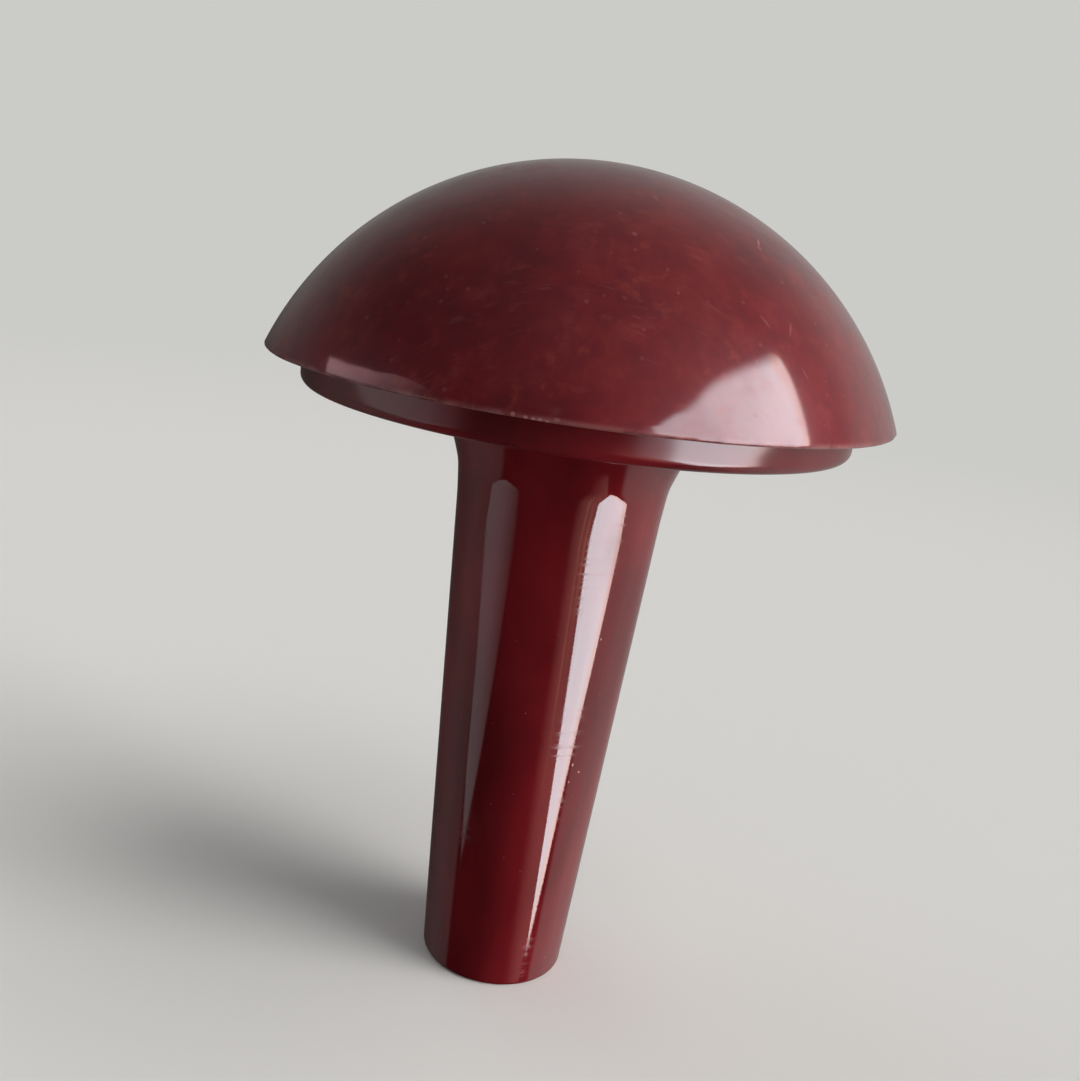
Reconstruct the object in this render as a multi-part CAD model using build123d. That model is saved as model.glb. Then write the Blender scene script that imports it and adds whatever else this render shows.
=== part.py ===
from build123d import *
from math import sqrt
import os

# A darning mushroom in two moulded pieces. A domed cap screws down on a flanged
# stem, and the stem's hollow handle keeps needles. The origin is the centre of the
# handle's flat foot, and +Z runs up the common axis to the crown of the cap.

# Driving dimensions of the whole
cap_diameter = 75.0
dome_rise = 25.6
handle_length = 74.5
foot_diameter = 18.8
neck_diameter = 25.2

# Cap
cap_wall = 3.6
rim_rounding = 0.3
rim_overhang = 4.35
bore_lead_in = 0.4
bore_top_rounding = 1.5

# Screwed joint: the ridges of the thread stand in the room between collar and bore
seat_width = 4.25
thread_depth = 0.9
thread_clearance = 0.3
collar_wall = 3.2
collar_top_room = 0.6
collar_lead_in = 0.8
collar_lip_rounding = 0.6
relief_height = 1.0
relief_depth = 0.4

# Flange, with the dish that it floors inside the collar
flange_thickness = 3.8
flange_rounding = 1.2
dish_floor_thickness = 3.0
dish_draft = 0.4
dish_rounding = 1.5

# Handle and the well inside it
flare_height = 13.0
flare_width = 3.5
flare_corner_rounding = 1.5
foot_rounding = 0.5
foot_wall = 4.0
handle_wall = 3.6
well_floor_rounding = 2.0
well_mouth_rounding = 1.0

# How far a cut runs past the face that it opens
cut_overrun = 1.0

# Levels up the axis
neck_level = handle_length - flare_height
seat_level = handle_length + flange_thickness
crown_level = seat_level + dome_rise
dish_level = handle_length + dish_floor_thickness

# Radii that fit one another, from the rim inwards
cap_radius = cap_diameter / 2
flange_radius = cap_radius - rim_overhang
collar_radius = flange_radius - seat_width
bore_radius = collar_radius + thread_depth + thread_clearance
dish_radius = collar_radius - collar_wall
foot_radius = foot_diameter / 2
neck_radius = neck_diameter / 2
handle_taper = (neck_radius - foot_radius) / neck_level

# The dome is part of a sphere. Its radius is the one at which the sphere meets the
# rounded rim smoothly, at the cap's full diameter.
rim_centre_radius = cap_radius - rim_rounding
rim_centre_rise = dome_rise - rim_rounding
dome_radius = (rim_centre_radius**2 + rim_centre_rise**2 - rim_rounding**2) / (
    2 * (rim_centre_rise - rim_rounding)
)
dome_centre = crown_level - dome_radius
inner_dome_radius = dome_radius - cap_wall
bore_top_level = dome_centre + sqrt(inner_dome_radius**2 - bore_radius**2)
collar_level = bore_top_level - collar_top_room


def turned(*outline):
    """A solid turned about the axis from a closed outline of radius and level."""
    return revolve(Plane.XZ * make_face(list(outline)), Axis.Z)


def ring(solid, radius, level):
    """The circular edge of a solid that lies nearest to a radius and a level."""

    def distance(edge):
        return sqrt((edge.radius - radius) ** 2 + (edge.arc_center.Z - level) ** 2)

    return solid.edges().filter_by(GeomType.CIRCLE).sort_by(distance)[0]


def well_radius(level):
    """Radius of the needle well, which keeps an even wall inside the handle's taper."""
    return foot_radius + handle_taper * level - handle_wall


def dome_outline():
    """Outside of the cap, from the crown over the rounded rim to the axis."""
    crown = (0, crown_level)
    rim_centre = Vector(rim_centre_radius, seat_level + rim_rounding)
    outward = (rim_centre - Vector(0, dome_centre)).normalized()
    meeting = rim_centre + outward * rim_rounding
    downhill = (outward.Y, -outward.X)
    dome = TangentArc(crown, meeting, tangent=(1, 0))
    rim = TangentArc(meeting, (rim_centre_radius, seat_level), tangent=downhill)
    underside = Polyline((rim_centre_radius, seat_level), (0, seat_level), crown)
    return dome, rim, underside


def cavity_outline():
    """Inside of the cap: the straight bore of the thread under the hollow dome."""
    inner_crown = (0, crown_level - cap_wall)
    bore_top = (bore_radius, bore_top_level)
    vault = TangentArc(inner_crown, bore_top, tangent=(1, 0))
    bore = Polyline(
        bore_top,
        (bore_radius, seat_level - cut_overrun),
        (0, seat_level - cut_overrun),
        inner_crown,
    )
    return vault, bore


def make_cap():
    """Domed shell with a rounded rim, a flat seat and the bore that takes the thread."""
    cavity = turned(*cavity_outline())
    cavity = fillet(ring(cavity, bore_radius, bore_top_level), bore_top_rounding)
    cap = turned(*dome_outline()) - cavity
    return chamfer(ring(cap, bore_radius, seat_level), bore_lead_in)


def stem_outline():
    """Outside of the stem: tapered handle, flare, flange and collar."""
    neck = (neck_radius, neck_level)
    flare_end = (neck_radius + flare_width, handle_length)
    taper = Polyline((0, collar_level), (0, 0), (foot_radius, 0), neck)
    flare = TangentArc(neck, flare_end, tangent=(handle_taper, 1))
    head = Polyline(
        flare_end,
        (flange_radius, handle_length),
        (flange_radius, seat_level),
        (collar_radius, seat_level),
        (collar_radius, collar_level),
        (0, collar_level),
    )
    return taper, flare, head


def make_relief():
    """Narrow groove at the collar's root, where the thread runs out."""
    inner = collar_radius - relief_depth
    outer = collar_radius + cut_overrun
    top = seat_level + relief_height
    return turned(
        Polyline((inner, seat_level), (outer, seat_level), (outer, top), (inner, top), (inner, seat_level))
    )


def make_dish():
    """Room inside the collar, a little narrower at its rounded floor."""
    top = collar_level + cut_overrun
    floor_radius = dish_radius - dish_draft
    dish = turned(
        Polyline((0, dish_level), (floor_radius, dish_level), (dish_radius, top), (0, top), (0, dish_level))
    )
    return fillet(ring(dish, floor_radius, dish_level), dish_rounding)


def make_well():
    """Tapered well for needles, from the dish's floor almost to the foot."""
    top = dish_level + cut_overrun
    floor_radius = well_radius(foot_wall)
    mouth_radius = well_radius(top)
    well = turned(
        Polyline((0, foot_wall), (floor_radius, foot_wall), (mouth_radius, top), (0, top), (0, foot_wall))
    )
    return fillet(ring(well, floor_radius, foot_wall), well_floor_rounding)


def make_stem():
    """Hollow handle, flange, dish and threaded collar in one moulding."""
    stem = turned(*stem_outline())
    stem = fillet(ring(stem, foot_radius, 0), foot_rounding)
    stem = fillet(ring(stem, neck_radius + flare_width, handle_length), flare_corner_rounding)
    stem = fillet(ring(stem, flange_radius, handle_length), flange_rounding)
    stem = chamfer(ring(stem, collar_radius, collar_level), collar_lead_in)
    stem = stem - make_relief() - make_dish() - make_well()
    stem = fillet(ring(stem, dish_radius, collar_level), collar_lip_rounding)
    return fillet(ring(stem, well_radius(dish_level), dish_level), well_mouth_rounding)


pieces = {"cap": make_cap(), "stem": make_stem()}

os.makedirs("parts", exist_ok=True)
for name, piece in pieces.items():
    solid = piece.solid()
    solid.label = name
    export_step(solid, f"parts/{name}.step")
    box = solid.bounding_box()
    print(name, "volume", round(solid.volume), "from level", round(box.min.Z, 3), "to", round(box.max.Z, 3))

print("dome radius", round(dome_radius, 2), "bore top", round(bore_top_level, 2), "collar top", round(collar_level, 2))
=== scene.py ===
import math

import bpy
from mathutils import Matrix, Quaternion, Vector, noise


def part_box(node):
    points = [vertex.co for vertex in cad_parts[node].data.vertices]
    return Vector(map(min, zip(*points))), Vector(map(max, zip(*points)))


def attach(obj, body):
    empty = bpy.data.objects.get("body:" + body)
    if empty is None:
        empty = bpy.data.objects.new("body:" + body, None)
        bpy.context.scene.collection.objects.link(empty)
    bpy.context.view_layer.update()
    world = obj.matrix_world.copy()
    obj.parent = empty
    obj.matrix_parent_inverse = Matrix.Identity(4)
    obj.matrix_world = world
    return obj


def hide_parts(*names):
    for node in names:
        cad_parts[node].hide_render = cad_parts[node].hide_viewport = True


# A darning mushroom of dark cherry red moulded plastic: a worn, hazy cap
# screwed down on a polished stem. Lengths are in metres, angles in degrees.

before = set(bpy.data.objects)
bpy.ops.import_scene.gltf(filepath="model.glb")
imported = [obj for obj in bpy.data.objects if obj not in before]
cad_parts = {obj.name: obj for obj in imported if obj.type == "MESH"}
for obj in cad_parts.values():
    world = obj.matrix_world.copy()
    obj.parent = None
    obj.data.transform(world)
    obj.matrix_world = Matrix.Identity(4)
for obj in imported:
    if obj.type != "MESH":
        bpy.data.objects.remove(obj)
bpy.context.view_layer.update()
capLow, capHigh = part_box("cap")
_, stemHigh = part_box("stem")
mm = 0.001

# levels and radii that both pieces follow
seatLevel = capLow.z
crownLevel = capHigh.z
collarLevel = stemHigh.z
capRadius = capHigh.x
flangeRadius = stemHigh.x

roundSteps = 360  # corners of every turned ring
weldGap = 0.002 * mm  # points closer than this become one
stationGap = 0.01 * mm  # stations closer than this are one station


# Turning: a ring is extruded and scaled from station to station


def startRing(name, radius, level):
    bpy.ops.object.select_all(action="DESELECT")
    bpy.ops.mesh.primitive_circle_add(vertices=roundSteps, radius=radius, location=(0, 0, level))
    ring = bpy.context.object
    ring.name = name
    bpy.ops.object.transform_apply(location=True)
    bpy.context.tool_settings.mesh_select_mode = (True, False, False)
    bpy.ops.object.mode_set(mode="EDIT")
    bpy.ops.mesh.select_all(action="SELECT")
    return ring


def pullRing(here, there):
    bpy.ops.mesh.extrude_edges_move(TRANSFORM_OT_translate={"value": (0, 0, there[1] - here[1])})
    scale = there[0] / here[0]
    bpy.ops.transform.resize(value=(scale, scale, 1), center_override=(0, 0, there[1]))


def closePole(level):
    bpy.ops.mesh.edge_face_add()  # a flat cap, then a fan drawn to the axis
    bpy.ops.mesh.poke(center_mode="MEDIAN")
    bpy.ops.mesh.select_all(action="DESELECT")


def turnPiece(name, stations):
    piece = startRing(name, *stations[0])
    for here, there in zip(stations, stations[1:]):
        pullRing(here, there)
    closePole(stations[-1][1])
    bpy.ops.object.mode_set(mode="OBJECT")
    for vertex in piece.data.vertices[:roundSteps]:  # back to the first ring
        vertex.select = True
    bpy.ops.object.mode_set(mode="EDIT")
    closePole(stations[0][1])
    bpy.ops.mesh.select_all(action="SELECT")
    bpy.ops.mesh.remove_doubles(threshold=weldGap)
    bpy.ops.mesh.normals_make_consistent(inside=False)
    bpy.ops.object.mode_set(mode="OBJECT")
    return piece


def arcStations(centre, radius, start, end, steps):
    # angles are measured from straight up the axis, towards the rim
    angles = [math.radians(start + (end - start) * step / steps) for step in range(steps + 1)]
    return [(centre[0] + radius * math.sin(a), centre[1] + radius * math.cos(a)) for a in angles]


def lineStations(start, end, steps):
    return [
        (start[0] + (end[0] - start[0]) * step / steps, start[1] + (end[1] - start[1]) * step / steps)
        for step in range(steps + 1)
    ]


def joinStations(*runs):
    joined = []
    for run in runs:
        for station in run:
            if not joined or math.dist(joined[-1], station) > stationGap:
                joined.append(station)
    return joined


# Thread: a helical ridge raised out of a plain wall of close rings

thread = dict(pitch=3.0 * mm, height=0.85 * mm, crest=0.5 * mm, foot=1.3 * mm, coreRadius=28.9 * mm,
              boreRadius=30.1 * mm, rings=0.16 * mm, onWall=0.02 * mm)


def raiseThread(piece, wallRadius, bottom, top, outward, phase):
    for vertex in piece.data.vertices:
        radius = math.hypot(vertex.co.x, vertex.co.y)
        inZone = bottom < vertex.co.z < top and abs(radius - wallRadius) < thread["onWall"]
        if not inZone:
            continue
        turn = math.degrees(math.atan2(vertex.co.y, vertex.co.x)) % 360 / 360
        climb = (vertex.co.z - bottom) / thread["pitch"] - turn + phase
        beside = abs(climb - round(climb)) * thread["pitch"]  # distance from the ridge's middle
        flank = (thread["foot"] - thread["crest"]) / 2
        rise = min(1, max(0, (thread["foot"] / 2 - beside) / flank))
        ends = min(vertex.co.z - bottom, top - vertex.co.z) / (thread["foot"] / 2)
        rise = rise * min(1, max(0, ends))
        rise = rise * rise * (3 - 2 * rise)
        scale = (radius + outward * thread["height"] * rise) / radius
        vertex.co.x *= scale
        vertex.co.y *= scale


chips = dict(spread=0.15, fineShare=0.6, fineGrain=2.7, fineFrom=0.1)


def wearEdge(piece, radius, level, wear):
    # knocks an edge back by noise, always inwards, so it stays inside its size
    for vertex in piece.data.vertices:
        across = math.hypot(vertex.co.x, vertex.co.y)
        away = math.hypot(across - radius, vertex.co.z - level)
        if away > wear["reach"]:
            continue
        place = Vector((vertex.co.x, vertex.co.y, wear["seed"])) * wear["grain"]
        fine = max(0, noise.noise(place * chips["fineGrain"]) - chips["fineFrom"])
        dent = max(0, noise.noise(place) + chips["spread"]) + chips["fineShare"] * fine
        scale = 1 - wear["depth"] * dent * (1 - away / wear["reach"]) / across
        vertex.co.x *= scale
        vertex.co.y *= scale


# Cap

cap = dict(wall=3.6 * mm, rimRounding=0.3 * mm, boreLeadIn=0.4 * mm, domeSteps=60, rimSteps=5, seatSteps=3,
           vaultSteps=36, crownAngle=0.4, vaultAngle=0.6, threadStart=1.0 * mm, threadEnd=0.4 * mm, threadPhase=0.5,
           wear=dict(reach=1.4 * mm, depth=0.16 * mm, grain=230, seed=3.7))


def makeCap():
    rounding = cap["rimRounding"]
    rimCentre = (capRadius - rounding, seatLevel + rounding)
    rise = crownLevel - rimCentre[1]
    domeRadius = (rimCentre[0] ** 2 + rise ** 2 - rounding ** 2) / (2 * (rise - rounding))
    domeCentre = (0, crownLevel - domeRadius)
    meeting = math.degrees(math.atan2(rimCentre[0], rimCentre[1] - domeCentre[1]))
    vaultRadius = domeRadius - cap["wall"]
    boreRadius = thread["boreRadius"]
    boreAngle = math.degrees(math.asin(boreRadius / vaultRadius))
    boreTop = domeCentre[1] + math.sqrt(vaultRadius ** 2 - boreRadius ** 2)
    leadIn = cap["boreLeadIn"]
    threadRings = int((boreTop - seatLevel) / thread["rings"])
    stations = joinStations(
        arcStations(domeCentre, domeRadius, cap["crownAngle"], meeting, cap["domeSteps"]),
        arcStations(rimCentre, rounding, meeting, 180, cap["rimSteps"]),
        lineStations((rimCentre[0], seatLevel), (boreRadius + leadIn, seatLevel), cap["seatSteps"]),
        lineStations((boreRadius, seatLevel + leadIn), (boreRadius, boreTop), threadRings),
        arcStations(domeCentre, vaultRadius, boreAngle, cap["vaultAngle"], cap["vaultSteps"]),
    )
    piece = turnPiece("cap_moulding", stations)
    threadLow, threadHigh = seatLevel + cap["threadStart"], boreTop - cap["threadEnd"]
    raiseThread(piece, boreRadius, threadLow, threadHigh, -1, cap["threadPhase"])
    wearEdge(piece, capRadius, seatLevel + rounding, cap["wear"])
    print("cap turned,", len(piece.data.vertices), "points")
    return piece


# Stem

# bends holds a radius and a rise for each of the flare's first two arcs
stem = dict(footRadius=9.4 * mm, neckRadius=12.7 * mm, flareHeight=13.0 * mm,
            bends=((79 * mm, 4.8 * mm), (7 * mm, 1.25 * mm)), flareRadius=40 * mm, flareCorner=1.5 * mm,
            footRounding=0.5 * mm, flangeThickness=3.8 * mm, flangeRounding=1.2 * mm, seatRounding=0.2 * mm,
            reliefHeight=1.0 * mm, reliefDepth=0.4 * mm, collarLeadIn=0.8 * mm, collarWall=3.2 * mm, lip=0.6 * mm,
            dishFloor=3.0 * mm, dishDraft=0.4 * mm, dishCorner=1.5 * mm, wellMouth=1.0 * mm, wellDraft=0.2 * mm,
            wellCorner=2.0 * mm, handleWall=3.6 * mm, footWall=4.0 * mm, poleRadius=0.3 * mm, handleSteps=40,
            bendSteps=10, flareSteps=12, threadPhase=0,
            wear=dict(reach=1.6 * mm, depth=0.05 * mm, grain=160, seed=8.1))


def makeStem():
    underside = seatLevel - stem["flangeThickness"]
    neckLevel = underside - stem["flareHeight"]
    footRadius, neckRadius = stem["footRadius"], stem["neckRadius"]
    taper = (neckRadius - footRadius) / neckLevel
    # the flare leaves the taper smoothly, bends out in three arcs and meets the flange in a fillet
    flare, end, tilt = [], (neckRadius, neckLevel), math.atan(taper)
    for bend, rise in stem["bends"]:
        centre = (end[0] + bend * math.cos(tilt), end[1] - bend * math.sin(tilt))
        start, tilt = tilt, math.asin(math.sin(tilt) + rise / bend)
        flare += arcStations(centre, bend, 270 + math.degrees(start), 270 + math.degrees(tilt), stem["bendSteps"])
        end = flare[-1]
    wide, corner = stem["flareRadius"], stem["flareCorner"]
    flareCentre = (end[0] + wide * math.cos(tilt), end[1] - wide * math.sin(tilt))
    top = math.asin((underside - corner - flareCentre[1]) / (wide - corner))
    cornerCentre = (flareCentre[0] - (wide - corner) * math.cos(top), underside - corner)
    foot = stem["footRounding"]
    edge = stem["flangeRounding"]
    seatEdge = stem["seatRounding"]
    core = thread["coreRadius"]
    leadIn = stem["collarLeadIn"]
    reliefTop = seatLevel + stem["reliefHeight"]
    groove = core - stem["reliefDepth"]
    dishRadius = core - stem["collarWall"]
    dishLevel = underside + stem["dishFloor"]
    dishCorner = stem["dishCorner"]
    dishFoot = dishRadius - stem["dishDraft"]
    lip, mouth, wellCorner = stem["lip"], stem["wellMouth"], stem["wellCorner"]
    threadRings = int((collarLevel - leadIn - reliefTop) / thread["rings"])

    def wellRadius(level):
        return footRadius + taper * level - stem["handleWall"]

    wellFoot = wellRadius(0) + stem["wellDraft"]
    stations = joinStations(
        [(stem["poleRadius"], 0)],
        lineStations((footRadius * 0.5, 0), (footRadius - foot, 0), 2),
        arcStations((footRadius - foot, foot), foot, 180, 90, 5),
        lineStations((footRadius + taper * foot, foot), (neckRadius, neckLevel), stem["handleSteps"]),
        flare,
        arcStations(flareCentre, wide, 270 + math.degrees(tilt), 270 + math.degrees(top), stem["flareSteps"]),
        arcStations(cornerCentre, corner, 270 + math.degrees(top), 360, 6),
        lineStations((cornerCentre[0] + corner * 0.4, underside), (flangeRadius - edge, underside), 4),
        arcStations((flangeRadius - edge, underside + edge), edge, 180, 90, 9),
        arcStations((flangeRadius - seatEdge, seatLevel - seatEdge), seatEdge, 90, 0, 4),
        lineStations((groove, seatLevel), (groove, reliefTop), 2),
        lineStations((core, reliefTop), (core, collarLevel - leadIn), threadRings),
        [(core - leadIn, collarLevel)],
        arcStations((dishRadius + lip, collarLevel - lip), lip, 0, -90, 5),
        arcStations((dishFoot - dishCorner, dishLevel + dishCorner), dishCorner, 90, 180, 6),
        arcStations((wellRadius(dishLevel) + mouth, dishLevel - mouth), mouth, 0, -90, 5),
        arcStations((wellFoot - wellCorner, stem["footWall"] + wellCorner), wellCorner, 90, 180, 6),
        [(stem["poleRadius"], stem["footWall"])],
    )
    piece = turnPiece("stem_moulding", stations)
    raiseThread(piece, core, reliefTop, collarLevel - leadIn, 1, stem["threadPhase"])
    wearEdge(piece, flangeRadius, underside + edge, stem["wear"])
    print("stem turned,", len(piece.data.vertices), "points")
    return piece


# Finishes: node maths written as Python


class Wire:  # one output of a node, which Python's operators can calculate with
    def __init__(self, finish, socket):
        self.finish = finish
        self.socket = socket

    def maths(self, operation, first, second):
        return self.finish.add("ShaderNodeMath", {"operation": operation}, {0: first, 1: second})

    def __add__(self, other):
        return self.maths("ADD", self, other)

    def __radd__(self, other):
        return self.maths("ADD", other, self)

    def __sub__(self, other):
        return self.maths("SUBTRACT", self, other)

    def __rsub__(self, other):
        return self.maths("SUBTRACT", other, self)

    def __mul__(self, other):
        return self.maths("MULTIPLY", self, other)

    def __rmul__(self, other):
        return self.maths("MULTIPLY", other, self)

    def atLeast(self, least):
        return self.maths("MAXIMUM", self, least)

    def ramp(self, low, high):  # 0 below low, 1 above high, smooth between
        sockets = {"Value": self, "From Min": low, "From Max": high}
        return self.finish.add("ShaderNodeMapRange", {"interpolation_type": "SMOOTHSTEP"}, sockets)


class Finish:  # a material, and the one way that its nodes are added
    def __init__(self, name, tree=None):
        if tree is None:
            self.material = bpy.data.materials.new(name)
            self.material.use_nodes = True
            tree = self.material.node_tree
        self.tree = tree
        self.tree.nodes.clear()

    def add(self, kind, settings=None, sockets=None, output=0):
        node = self.tree.nodes.new(kind)
        for name, value in (settings or {}).items():
            if name == "stops":
                self.setStops(node.color_ramp, value)
            else:
                setattr(node, name, value)
        for name, value in (sockets or {}).items():
            if isinstance(value, Wire):
                self.tree.links.new(value.socket, node.inputs[name])
            else:
                node.inputs[name].default_value = value
        return Wire(self, node.outputs[output]) if len(node.outputs) else None

    def setStops(self, ramp, stops):
        while len(ramp.elements) < len(stops):
            ramp.elements.new(1)
        for element, (position, colour) in zip(ramp.elements, stops):
            element.position = position
            element.color = (*colour, 1)

    def axes(self, vector):
        node = self.add("ShaderNodeSeparateXYZ", {}, {"Vector": vector}).socket.node
        return [Wire(self, output) for output in node.outputs]

    def point(self):
        return self.add("ShaderNodeTexCoord", output="Object")

    def path(self, ray):
        return self.add("ShaderNodeLightPath", output=ray)

    def clouds(self, point, scale, detail=2, roughness=0.5, distortion=0):
        sockets = {"Vector": point, "Scale": scale, "Detail": detail, "Roughness": roughness,
                   "Distortion": distortion}
        return self.add("ShaderNodeTexNoise", {}, sockets)

    def turned(self, point, rotation, scale):
        return self.add("ShaderNodeMapping", {}, {"Vector": point, "Rotation": rotation, "Scale": scale})

    def colours(self, value, stops):
        return self.add("ShaderNodeValToRGB", {"stops": stops}, {"Fac": value})

    def blend(self, share, first, second):
        return self.add("ShaderNodeMix", {"data_type": "RGBA"}, {0: share, 6: first, 7: second}, output=2)

    def length(self, vector):
        return self.add("ShaderNodeVectorMath", {"operation": "LENGTH"}, {0: vector}, output="Value")

    def marks(self, point, centre, places):
        # soft ovals that lie on a round surface
        total = 0
        for across, behind, up, long, wide, lean, strength in places:
            place = Vector((across, behind, up)) * mm
            turn = (place - centre).to_track_quat("Z", "Y") @ Quaternion((0, 0, 1), math.radians(lean))
            oval = self.add("ShaderNodeMapping", {"vector_type": "TEXTURE"}, {
                "Vector": point, "Location": place, "Rotation": turn.to_euler(),
                "Scale": Vector((wide / 2, long / 2, 0.8)) * mm})
            total = (1 - self.length(oval).ramp(0.45, 1)) * strength + total
        return total

    def specks(self, point, scale, rarity, small, large):
        near = self.add("ShaderNodeTexVoronoi", {}, {"Vector": point, "Scale": scale}, output="Distance")
        lot = self.add("ShaderNodeTexVoronoi", {}, {"Vector": point, "Scale": scale}, output="Color")
        red, green, blue = self.axes(lot)
        size = green * 0.8 + 0.6
        return (1 - (near - size * small).ramp(0, large - small)) * red.ramp(rarity, rarity + 0.01)

    def scratches(self, point, turns, along, across):
        lines = 0
        for turn in turns:
            grain = self.turned(point, turn, (along, across, along))
            lines = self.clouds(grain, 1, detail=1).ramp(0.64, 0.76) + lines
        return lines * self.clouds(point, 170, detail=1).ramp(0.45, 0.65)


# what the photograph shows one by one: a dash, chips and a few scratches, each with its place in mm,
# length, width, lean and strength
capMarks = [
    (5.06, -16.74, 99.93, 1.7, 0.6, 4, 0.09),
    (3.31, -23.82, 95.98, 0.9, 0.7, 0, 0.12),
    (6.91, -26.69, 93.06, 0.6, 0.4, 20, 0.09),
    (8.19, -28.37, 91.11, 0.6, 0.5, 0, 0.09),
    (3.16, -30.36, 90.01, 0.8, 0.5, 60, 0.05),
    (-1.49, -28.88, 91.74, 0.6, 0.5, 0, 0.05),
    (-11.68, -22.44, 95.02, 0.6, 0.5, 0, 0.09),
    (16.39, -15.67, 96.95, 2.0, 0.40, -40, 0.30),
    (16.46, -16.74, 96.40, 0.8, 0.45, 10, 0.24),
    (17.15, -25.78, 89.50, 2.4, 0.3, 30, 0.12),
    (19.94, -24.21, 89.01, 2.2, 0.3, -30, 0.12),
    (21.85, -26.33, 85.06, 1.7, 0.35, 20, 0.10),
    # chips along the rim's front: worn spots with the coat knocked off, tinted pale, which also paints the
    # highlight on their broken facets
    (-5.40, -37.10, 78.60, 0.6, 0.6, 0, 0.30),
    (-4.20, -37.25, 78.50, 0.5, 0.6, 0, 0.30),
    (-3.50, -37.30, 78.45, 0.4, 0.5, 0, 0.34),
    (-2.85, -37.35, 78.45, 0.5, 0.6, 0, 0.30),
    (-2.20, -37.40, 78.40, 0.4, 0.5, 0, 0.30),
    (-1.30, -37.40, 78.70, 0.6, 0.8, 0, 0.14),
]
stemMarks = [
    (6.58, -8.93, 32.46, 0.5, 0.30, 20, 0.6),
    (7.50, -8.09, 31.27, 0.45, 0.25, 60, 0.5),
    (6.44, -8.88, 30.09, 0.35, 0.25, 0, 0.5),
    (7.40, -9.40, 49.26, 0.3, 0.25, 0, 0.5),
]


# chip is the pale pink given to chips, scratches and specks; on the rim's chips and its lowest band that pale is
# also a painted highlight on the broken edge
capLook = dict(
    moulded=[(0.36, (0.070, 0.0056, 0.0084)), (0.50, (0.094, 0.0060, 0.0092)), (0.64, (0.120, 0.0086, 0.0104))],
    rust=(0.20, 0.030, 0.018, 1), rustShare=0.34, dust=(0.30, 0.17, 0.16, 1), dustShare=0.032, veil=0.002,
    chip=(0.50, 0.24, 0.23, 1), speckShare=0.08, scratchShare=0.035, rimWearAndGlintShare=0.22, rimLow=0.05 * mm,
    rimHigh=0.75 * mm, scratchTurns=((0.3, 0.2, 0.4), (0.1, 0.5, 1.4), (0.5, 0.1, 2.3)), roughness=0.36, ior=1.23,
    coat=0.88, coatRoughness=0.08, coatIor=1.5, dullFrom=-9 * mm, dullTo=14 * mm, dullCoat=0.88, dullRoughness=0.10,
    sheen=0.02, sheenRoughness=0.5, sheenTint=(0.8, 0.66, 0.64, 1), bump=0.2, bumpHeight=0.00003)


def wearCap():
    look = capLook
    finish = Finish("worn cherry moulding")
    point = finish.point()
    _, behind, up = finish.axes(point)
    body = finish.clouds(point, 75, detail=3, roughness=0.55, distortion=0.6)
    blotch = finish.clouds(point, 330, detail=4, roughness=0.65)
    moulded = finish.colours(body * 0.45 + blotch * 0.55, look["moulded"])
    mottles = finish.clouds(point, 620, detail=3, roughness=0.6)
    rusty = mottles.ramp(0.52, 0.72) * finish.clouds(point, 110, detail=1).ramp(0.40, 0.62)
    colour = finish.blend(rusty * look["rustShare"], moulded, look["rust"])
    rubbed = finish.clouds(point, 140, detail=5, roughness=0.62)
    dust = blotch.ramp(0.46, 0.70) * rubbed.ramp(0.42, 0.62)
    fog = finish.blend(dust * look["dustShare"] + look["veil"], colour, look["dust"])
    scratches = finish.scratches(point, look["scratchTurns"], 330, 2600)
    specks = finish.specks(point, 520, 0.62, 0.05, 0.16)
    # the lowest edge of the cap, worn and chipped; its pale tint is partly wear and partly a painted highlight
    # along the chipped edge
    lowest = 1 - up.ramp(seatLevel + look["rimLow"], seatLevel + look["rimHigh"])
    rim = lowest * finish.clouds(point, 420, detail=3).ramp(0.34, 0.58)
    marks = finish.marks(point, Vector((0, 0, crownLevel - capRadius)), capMarks)
    # specks, scratches, the rim band and the marks, mixed in pale pink: wear, and on the rim also a painted
    # highlight
    worn = specks * look["speckShare"] + scratches * look["scratchShare"] + rim * look["rimWearAndGlintShare"] + marks
    chipped = finish.blend(worn, fog, look["chip"])
    # the side away from the camera is duller, or else the window burns out there in views from behind
    dull = behind.ramp(look["dullFrom"], look["dullTo"])
    roughness = rubbed.ramp(0.35, 0.7) * 0.10 + scratches * 0.06 + dull * look["dullRoughness"] + look["roughness"]
    bump = finish.add("ShaderNodeBump", {}, {
        "Height": rubbed * 0.5 - scratches * 0.15 - specks * 0.3 - marks,
        "Strength": look["bump"], "Distance": look["bumpHeight"]})
    coat = (look["coat"] - dust * 0.25 - specks * 0.25 - marks * 2) * (1 - dull * look["dullCoat"])
    surface = finish.add("ShaderNodeBsdfPrincipled", {}, {
        "Base Color": chipped, "Roughness": roughness, "IOR": look["ior"], "Normal": bump,
        "Coat Weight": coat, "Coat Roughness": look["coatRoughness"], "Coat IOR": look["coatIor"],
        "Sheen Weight": look["sheen"], "Sheen Roughness": look["sheenRoughness"], "Sheen Tint": look["sheenTint"]})
    finish.add("ShaderNodeOutputMaterial", {}, {"Surface": surface})
    return finish.material


stemLook = dict(
    moulded=[(0.34, (0.066, 0.0040, 0.0058)), (0.50, (0.094, 0.0052, 0.0078)), (0.68, (0.128, 0.0072, 0.0108))],
    chip=(0.62, 0.38, 0.35, 1), speckShare=0.30, hazeFrom=5 * mm, hazeTo=3.4 * mm, lowFrom=38 * mm, lowTo=62 * mm,
    roughness=0.04, ior=1.6, bump=0.3, bumpHeight=0.00001, markCentre=0.04)


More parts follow.
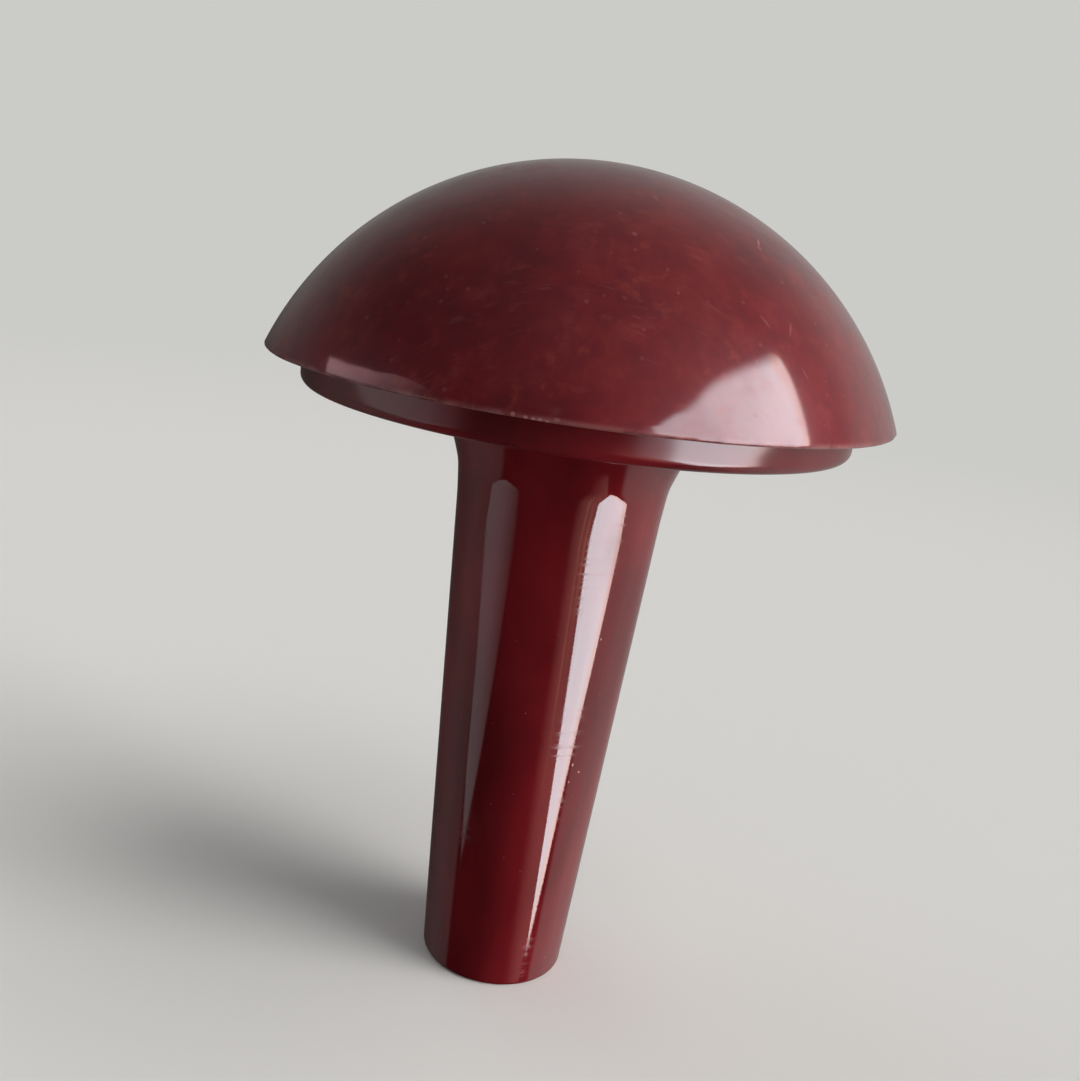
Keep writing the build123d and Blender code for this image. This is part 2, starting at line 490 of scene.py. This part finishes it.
def polishStem():
    look = stemLook
    finish = Finish("polished cherry moulding")
    point = finish.point()
    _, _, up = finish.axes(point)
    drawn = finish.turned(point, (0, 0, 0), (1, 1, 0.4))
    body = finish.clouds(drawn, 90, detail=3, roughness=0.55, distortion=0.4)
    colour = finish.colours(body, look["moulded"])
    haze = up.ramp(seatLevel - look["hazeFrom"], seatLevel - look["hazeTo"])  # the flange's edge is duller
    rings = finish.clouds(finish.turned(point, (0, 0, 0), (60, 60, 2600)), 1, detail=3, roughness=0.7)
    streaks = rings.ramp(0.46, 0.66) * finish.clouds(point, 90, detail=1).ramp(0.46, 0.60) * (1 - haze)
    low = 1 - up.ramp(look["lowFrom"], look["lowTo"])
    specks = finish.specks(point, 820, 0.80, 0.035, 0.08) * (low * 0.8 + 0.2)
    marks = finish.marks(point, Vector((0, 0, look["markCentre"])), stemMarks)
    chipped = finish.blend(specks * look["speckShare"] + marks, colour, look["chip"])
    roughness = streaks * 0.16 + specks * 0.2 + haze * 0.13 + look["roughness"]
    bump = finish.add("ShaderNodeBump", {}, {
        "Height": rings * (1 - haze) - marks, "Strength": look["bump"], "Distance": look["bumpHeight"]})
    surface = finish.add("ShaderNodeBsdfPrincipled", {}, {
        "Base Color": chipped, "Roughness": roughness, "IOR": look["ior"], "Normal": bump})
    finish.add("ShaderNodeOutputMaterial", {}, {"Surface": surface})
    return finish.material


smoothBelow = 32  # edges that turn by less are shaded smooth


def dress(piece, body, node, material):
    piece.data.materials.append(material)
    bpy.ops.object.select_all(action="DESELECT")
    piece.select_set(True)
    bpy.context.view_layer.objects.active = piece
    bpy.ops.object.shade_smooth_by_angle(angle=math.radians(smoothBelow))
    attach(piece, body)
    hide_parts(node)


# Stage: a pale floor that fades into a background of the same tone

stageLook = dict(tone=(0.60, 0.598, 0.58), floor=(0.75, 0.747, 0.728), size=6.0, fadeFrom=0.25, fadeTo=0.7,
                 ambient=0.20, room=(0.012, 0.009, 0.009))


def makeFloor():
    bpy.ops.object.select_all(action="DESELECT")
    bpy.ops.mesh.primitive_plane_add(size=stageLook["size"], location=(0, 0, 0))
    floor = bpy.context.object
    floor.name = "floor"
    finish = Finish("pale floor")
    fade = finish.length(finish.point()).ramp(stageLook["fadeFrom"], stageLook["fadeTo"])
    seen = finish.path("Is Camera Ray")
    matt = finish.add("ShaderNodeBsdfDiffuse", {}, {"Color": (*stageLook["floor"], 1)})
    glow = finish.add("ShaderNodeEmission", {}, {"Color": (*stageLook["tone"], 1), "Strength": 1})
    both = finish.add("ShaderNodeMixShader", {}, {0: fade * seen, 1: matt, 2: glow})
    finish.add("ShaderNodeOutputMaterial", {}, {"Surface": both})
    floor.data.materials.append(finish.material)
    floor.visible_glossy = False


def makeWorld():
    world = bpy.data.worlds.new("studio")
    bpy.context.scene.world = world
    world.use_nodes = True
    finish = Finish("studio", world.node_tree)
    grey = stageLook["ambient"]
    tone = (*stageLook["tone"], 1)
    across, behind, up = finish.axes(finish.add("ShaderNodeTexCoord", output="Generated"))
    # reflections see the same pale tone behind the object, brightest beside the window, and a dark
    # room in front
    edge = behind - up * 0.46 - 0.21
    soft = up.ramp(0.0, 0.7) * 0.40 + 0.035
    above = edge.ramp(0 - soft, soft) * (across * 0.37 + 0.53) + up.ramp(0.55, 1.0) * (across * 0.25 + 0.18)
    outward = across.atLeast(0 - across)
    near = 1 - behind.ramp(0.1, 0.8)
    lit = near * 0.26 + 0.07 + across.ramp(-0.3, 0.3) * (near * 0.24 + 0.53)
    below = (behind + outward * 0.25).ramp(-0.05, 0.05) * lit * up.ramp(-0.95, -0.6)
    horizon = up.ramp(-0.1, 0.2)
    share = horizon * above + (1 - horizon) * below
    mirrored = finish.blend(share, (*stageLook["room"], 1), tone)
    light = finish.blend(finish.path("Is Glossy Ray"), (grey, grey, grey, 1), mirrored)
    shown = finish.path("Is Camera Ray") + finish.path("Is Transmission Ray")
    colour = finish.blend(shown.ramp(0, 1), light, tone)
    background = finish.add("ShaderNodeBackground", {}, {"Color": colour, "Strength": 1})
    finish.add("ShaderNodeOutputWorld", {}, {"Surface": background})


cardLook = dict(distance=3.0, height=0.07)


def makeCard(name, side, corners, shading):
    # an upright sheet far to the right or left that only reflections see; its corners are
    # (depth, height) for one metre of distance
    far = cardLook["distance"]
    bpy.ops.object.select_all(action="DESELECT")
    bpy.ops.mesh.primitive_circle_add(vertices=len(corners), radius=1, fill_type="NGON")
    card = bpy.context.object
    card.name = name
    for vertex, (depth, height) in zip(card.data.vertices, corners):
        vertex.co = (side * far, depth * far, height * far + cardLook["height"])
    finish = Finish(name)
    place = finish.turned(finish.point(), (0, 0, 0), (1 / far, 1 / far, 1 / far))
    _, depth, height = finish.axes(place)
    strength, colour = shading(finish, place, depth, height)
    glow = finish.add("ShaderNodeEmission", {}, {"Color": colour, "Strength": strength})
    finish.add("ShaderNodeOutputMaterial", {}, {"Surface": glow})
    card.data.materials.append(finish.material)
    card.visible_camera = False
    card.visible_diffuse = False
    card.visible_shadow = False
    card.visible_transmission = False


def windowLight(finish, place, depth, height):
    folds = finish.clouds(finish.turned(place, (0, 0, 0), (1, 8, 1.5)), 1, detail=2)
    # white up to the left jamb, then a dim curtain
    high = height.ramp(0.0, 0.6)
    left = (depth + high * 0.55).ramp(-1.30, -1.08) * 0.80 + depth.ramp(-2.5, -1.25) * 0.20
    bar = height.ramp(-0.42, -0.28) - height.ramp(0.0, 0.3)
    across = 1 - high * (1 - depth.ramp(-1.3, 0.15)) * 0.30
    ceiling = 1.24 - depth.ramp(-0.7, 0.25) * 0.28 + (-0.9 - depth).atLeast(0) * 0.2
    shown = left * (ceiling - height).ramp(-0.03, 0.12)
    strength = shown * (high * 0.12 + 1.06 - bar * 0.26) * across * (folds * 0.3 + 0.85) * 9.5
    rightJamb = height.ramp(-0.2, 0.75) * 0.33 - (-0.38 - height).atLeast(0) * 0.62 - 0.2
    warm = (depth - rightJamb).ramp(-0.12, -0.05)
    return strength, finish.blend(warm, (0.95, 0.94, 1.0, 1), (1.0, 0.80, 0.75, 1))


def farWindowLight(finish, place, depth, height):
    high = height.ramp(0.05, 0.4)
    low = depth.ramp(-1.3, -0.3) * (1 - high) * 0.72
    return low + high * depth.ramp(-0.9, 0.15) * 2.9, finish.blend(high, (1, 0.97, 1, 1), (1, 0.60, 0.64, 1))


def shelfLight(finish, place, depth, height):
    along = depth - (-0.57 - height).atLeast(0) * 1.75
    glow = along.ramp(-4.8, -1.5) * height.ramp(-1.9, -0.75)
    fainter = (along.ramp(-2.12, -2.0) - along.ramp(-1.9, -1.8)) * 0.5
    lines = along.ramp(-1.58, -1.46) - along.ramp(-1.42, -1.32) + fainter
    slats = lines * (1 - depth.ramp(-1.5, -1.1)) * height.ramp(-1.45, -0.85)
    return glow * 1.15 + slats * 1.6, finish.blend(slats, (1, 0.44, 0.39, 1), (1, 0.46, 0.2, 1))


windowCorners = [
    (-0.56, -0.93), (-0.74, -0.81), (-0.86, -0.74), (-1.02, -0.655), (-1.17, -0.57), (-1.26, -0.48),
    (-2.60, -0.58), (-2.60, 1.75), (-1.80, 1.54), (-0.80, 1.36), (-0.40, 1.30), (-0.10, 1.20), (0.05, 1.06),
    (0.13, 0.95), (0.16, 0.86), (0.13, 0.74), (0.09, 0.62), (0.05, 0.50), (0.035, 0.435), (0.02, 0.36),
    (-0.12, 0.0), (-0.21, -0.15), (-0.17, -0.30), (-0.20, -0.40), (-0.24, -0.48), (-0.30, -0.56),
    (-0.35, -0.64), (-0.41, -0.77), (-0.50, -0.89),
]
farWindowCorners = [
    (-0.40, -0.76), (-0.72, -0.72), (-0.92, -0.65), (-1.03, -0.54), (-1.25, -0.25), (-1.25, 0.95),
    (-0.90, 0.76), (-0.50, 0.62), (-0.30, 0.55), (-0.10, 0.485), (0.12, 0.42), (0.20, 0.385), (0.17, 0.30),
    (0.04, -0.12), (-0.128, -0.35), (-0.226, -0.485), (-0.266, -0.62),
]
shelfCorners = [
    (-1.26, -0.49), (-1.17, -0.58), (-1.02, -0.665), (-0.86, -0.75), (-0.74, -0.82), (-0.60, -0.93),
    (-0.70, -1.3), (-1.50, -2.0), (-3.40, -2.2), (-3.40, -0.75), (-2.60, -0.60),
]


def makeReflections():
    makeCard("window", 1, windowCorners, windowLight)
    makeCard("far_window", -1, farWindowCorners, farWindowLight)
    makeCard("shelf", 1, shelfCorners, shelfLight)


def makeSun(name, heading, height, power, angle, tint):
    # headings are measured from the camera's side of the object towards the right
    bpy.ops.object.light_add(type="SUN", location=(0, 0, 0.5))
    sun = bpy.context.object
    sun.name = name
    sun.data.energy = power
    sun.data.angle = math.radians(angle)
    sun.data.color = tint
    across, up = math.radians(heading), math.radians(height)
    towards = Vector((math.sin(across) * math.cos(up), -math.cos(across) * math.cos(up), math.sin(up)))
    sun.rotation_euler = towards.to_track_quat("Z", "Y").to_euler()
    sun.visible_glossy = False


suns = [
    dict(name="key", heading=75, height=60, power=1.0, angle=45, tint=(1.0, 0.99, 0.97)),
    dict(name="side", heading=76, height=6, power=6.6, angle=45, tint=(1.0, 0.97, 0.96)),
    dict(name="back", heading=235, height=35, power=0.45, angle=60, tint=(0.98, 0.99, 1.0)),
]


def makeLights():
    for sun in suns:
        makeSun(**sun)


# Camera: just above the rim's height, close to the object, turned a little about its own axis

cameraView = dict(distance=142.99 * mm, height=94.06 * mm, lens=38.96, heading=2.69, pitch=-14.5, roll=8.08,
                  shift=0.0377)


def makeCamera():
    data = bpy.data.cameras.new("camera")
    data.lens = cameraView["lens"]
    data.shift_x = cameraView["shift"]
    data.clip_start = 1 * mm
    camera = bpy.data.objects.new("camera", data)
    bpy.context.scene.collection.objects.link(camera)
    turn = Matrix.Rotation(math.radians(cameraView["heading"]), 4, "Z")
    tip = Matrix.Rotation(math.radians(90 + cameraView["pitch"]), 4, "X")
    roll = Matrix.Rotation(math.radians(cameraView["roll"]), 4, "Z")
    stand = Matrix.Translation((0, -cameraView["distance"], cameraView["height"]))
    camera.matrix_world = stand @ turn @ tip @ roll
    bpy.context.scene.camera = camera


bpy.context.scene.view_settings.view_transform = "Standard"
makeCamera()
capPiece = makeCap()
stemPiece = makeStem()
dress(capPiece, "cap", "cap", wearCap())
dress(stemPiece, "stem", "stem", polishStem())
print("finishes on")
makeFloor()
makeWorld()
makeReflections()
makeLights()
print("stage set")
